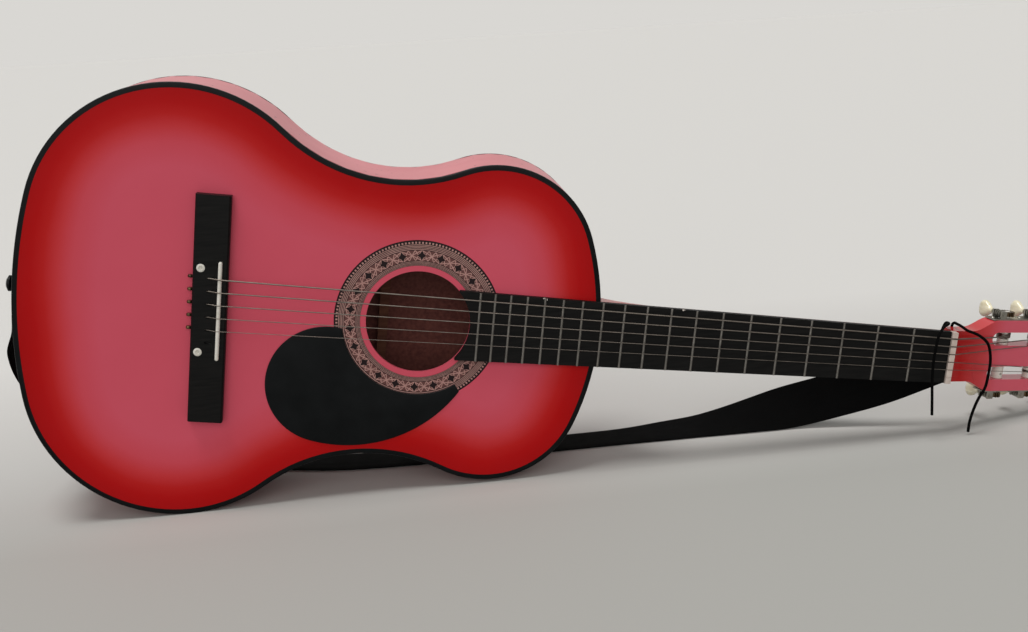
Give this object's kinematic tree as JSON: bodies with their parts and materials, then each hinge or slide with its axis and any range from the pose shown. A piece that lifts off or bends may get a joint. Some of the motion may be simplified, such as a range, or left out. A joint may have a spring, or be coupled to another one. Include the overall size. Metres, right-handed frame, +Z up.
{
  "type": "acoustic guitar",
  "caption": "Small student acoustic guitar with a slotted headstock, worm-and-gear tuning machines, a burst finish, a pickguard and a webbing strap, standing on its side.",
  "frame": {"origin": "The middle, on the floor, of the box round the guitar without its strap and lace.", "axes": "+X runs from the tail towards the head, +Y from the soundboard to the back, +Z up; the guitar stands on its treble edge."},
  "size_m": [0.9613, 0.1661, 0.3484],
  "materials": {
    "burst_lacquer": "gloss lacquer, pink centre darkening to red at the edge",
    "pink_lacquer": "gloss pink lacquer",
    "red_lacquer": "gloss red to pink lacquer",
    "rosette_print": "printed mosaic ring under lacquer",
    "raw_wood": "unfinished",
    "black_wood": "black stained, satin",
    "black_plastic": "satin to gloss",
    "white_plastic": "satin",
    "cream_plastic": "gloss, pearly",
    "nickel": "nickel plated",
    "brass": "plain",
    "string_steel": "wound and plain wire",
    "webbing": "woven black nylon",
    "tab_leather": "black split leather"
  },
  "bodies": {
    "guitar": {"soundboard": "burst_lacquer", "rosette": "rosette_print", "back_plate": "pink_lacquer", "rib_bass": "pink_lacquer", "rib_treble": "pink_lacquer", "top_binding": "black_plastic", "back_binding": "black_plastic", "top_lining": "raw_wood", "back_lining": "raw_wood", "neck_block": "raw_wood", "tail_block": "raw_wood", "top_braces": "raw_wood", "back_braces": "raw_wood", "bridge_plate": "raw_wood", "bridge": "black_wood", "saddle": "white_plastic", "bridge_bolts": "nickel", "bridge_caps": "white_plastic", "pickguard": "black_plastic", "end_pin": "black_plastic", "neck": "red_lacquer", "heel": "red_lacquer", "fretboard": "black_wood", "frets": "nickel", "nut": "white_plastic", "machine_plate_bass": "nickel", "machine_plate_treble": "nickel", "strings": "string_steel", "strap": "webbing", "strap_tab": "tab_leather", "lace": "webbing"},
    "tuner_roller_6": {"roller_6": "white_plastic", "gear_6": "brass"},
    "tuner_worm_6": {"worm_6": "nickel", "button_6": "cream_plastic"},
    "tuner_roller_5": {"roller_5": "white_plastic", "gear_5": "brass"},
    "tuner_worm_5": {"worm_5": "nickel", "button_5": "cream_plastic"},
    "tuner_roller_4": {"roller_4": "white_plastic", "gear_4": "brass"},
    "tuner_worm_4": {"worm_4": "nickel", "button_4": "cream_plastic"},
    "tuner_roller_3": {"roller_3": "white_plastic", "gear_3": "brass"},
    "tuner_worm_3": {"worm_3": "nickel", "button_3": "cream_plastic"},
    "tuner_roller_2": {"roller_2": "white_plastic", "gear_2": "brass"},
    "tuner_worm_2": {"worm_2": "nickel", "button_2": "cream_plastic"},
    "tuner_roller_1": {"roller_1": "white_plastic", "gear_1": "brass"},
    "tuner_worm_1": {"worm_1": "nickel", "button_1": "cream_plastic"}
  },
  "joints": [
    {"name": "roller_6_turn", "type": "hinge", "parent": "guitar", "child": "tuner_roller_6", "pos_m": [0.36188, -0.01402, 0.09845], "axis": [0.1588, 0, 0.9873], "continuous": true},
    {"name": "worm_6_turn", "type": "hinge", "parent": "guitar", "child": "tuner_worm_6", "pos_m": [0.35393, -0.01603, 0.09972], "axis": [0.2389, -0.9703, -0.0384], "continuous": true},
    {"name": "roller_5_turn", "type": "hinge", "parent": "guitar", "child": "tuner_roller_5", "pos_m": [0.39541, -0.00556, 0.09305], "axis": [0.1588, 0, 0.9873], "continuous": true},
    {"name": "worm_5_turn", "type": "hinge", "parent": "guitar", "child": "tuner_worm_5", "pos_m": [0.38746, -0.00756, 0.09433], "axis": [0.2389, -0.9703, -0.0384], "continuous": true},
    {"name": "roller_4_turn", "type": "hinge", "parent": "guitar", "child": "tuner_roller_4", "pos_m": [0.42894, 0.00291, 0.08766], "axis": [0.1588, 0, 0.9873], "continuous": true},
    {"name": "worm_4_turn", "type": "hinge", "parent": "guitar", "child": "tuner_worm_4", "pos_m": [0.42099, 0.0009, 0.08894], "axis": [0.2389, -0.9703, -0.0384], "continuous": true},
    {"name": "roller_3_turn", "type": "hinge", "parent": "guitar", "child": "tuner_roller_3", "pos_m": [0.41721, 0.00291, 0.01474], "axis": [0.1588, 0, 0.9873], "continuous": true},
    {"name": "worm_3_turn", "type": "hinge", "parent": "guitar", "child": "tuner_worm_3", "pos_m": [0.40926, 0.0009, 0.01602], "axis": [0.2389, -0.9703, -0.0384], "continuous": true},
    {"name": "roller_2_turn", "type": "hinge", "parent": "guitar", "child": "tuner_roller_2", "pos_m": [0.38368, -0.00556, 0.02013], "axis": [0.1588, 0, 0.9873], "continuous": true},
    {"name": "worm_2_turn", "type": "hinge", "parent": "guitar", "child": "tuner_worm_2", "pos_m": [0.37573, -0.00756, 0.02141], "axis": [0.2389, -0.9703, -0.0384], "continuous": true},
    {"name": "roller_1_turn", "type": "hinge", "parent": "guitar", "child": "tuner_roller_1", "pos_m": [0.35015, -0.01402, 0.02552], "axis": [0.1588, 0, 0.9873], "continuous": true},
    {"name": "worm_1_turn", "type": "hinge", "parent": "guitar", "child": "tuner_worm_1", "pos_m": [0.3422, -0.01603, 0.0268], "axis": [0.2389, -0.9703, -0.0384], "continuous": true}
  ],
  "couplings": [
    {"joint": "worm_6_turn", "follows": "roller_6_turn", "ratio": -14},
    {"joint": "worm_5_turn", "follows": "roller_5_turn", "ratio": -14},
    {"joint": "worm_4_turn", "follows": "roller_4_turn", "ratio": -14},
    {"joint": "worm_3_turn", "follows": "roller_3_turn", "ratio": 14},
    {"joint": "worm_2_turn", "follows": "roller_2_turn", "ratio": 14},
    {"joint": "worm_1_turn", "follows": "roller_1_turn", "ratio": 14}
  ]
}
